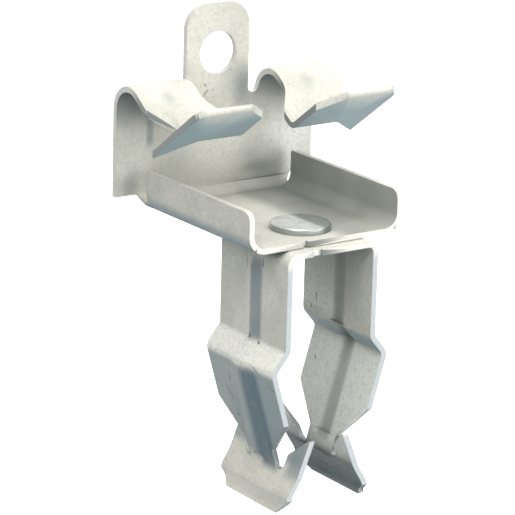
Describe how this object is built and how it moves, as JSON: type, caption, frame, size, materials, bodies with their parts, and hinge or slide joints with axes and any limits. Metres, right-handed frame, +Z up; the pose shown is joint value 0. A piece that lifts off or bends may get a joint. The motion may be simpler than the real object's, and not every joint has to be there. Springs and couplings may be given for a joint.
{
  "type": "beam flange clip",
  "caption": "Hammer-on beam flange clip of folded spring steel: back plate with holed tab, sprung jaws over a tray, and a push-in conduit clip riveted to turn beneath it",
  "frame": {"origin": "where the beam flange sits: on the rail tops, against the back plate's front face, at mid width", "axes": "+X across the back plate, -Y the way the tray and the jaws reach out, +Z up towards the tab"},
  "size_m": [0.0486, 0.0439, 0.0957],
  "materials": {
    "coated_steel": "matt, fine-grained warm grey zinc-rich coating on spring steel",
    "zinc_rivet": "bright smooth zinc plate"
  },
  "bodies": {
    "flange_body": {"flange_clip": "coated_steel", "rivet": "zinc_rivet"},
    "conduit_body": {"conduit_clip": "coated_steel"}
  },
  "joints": [
    {"name": "clip_swivel", "type": "hinge", "parent": "flange_body", "child": "conduit_body", "pos_m": [0, -0.0305, -0.0094], "axis": [0, 0, 1], "continuous": true}
  ]
}
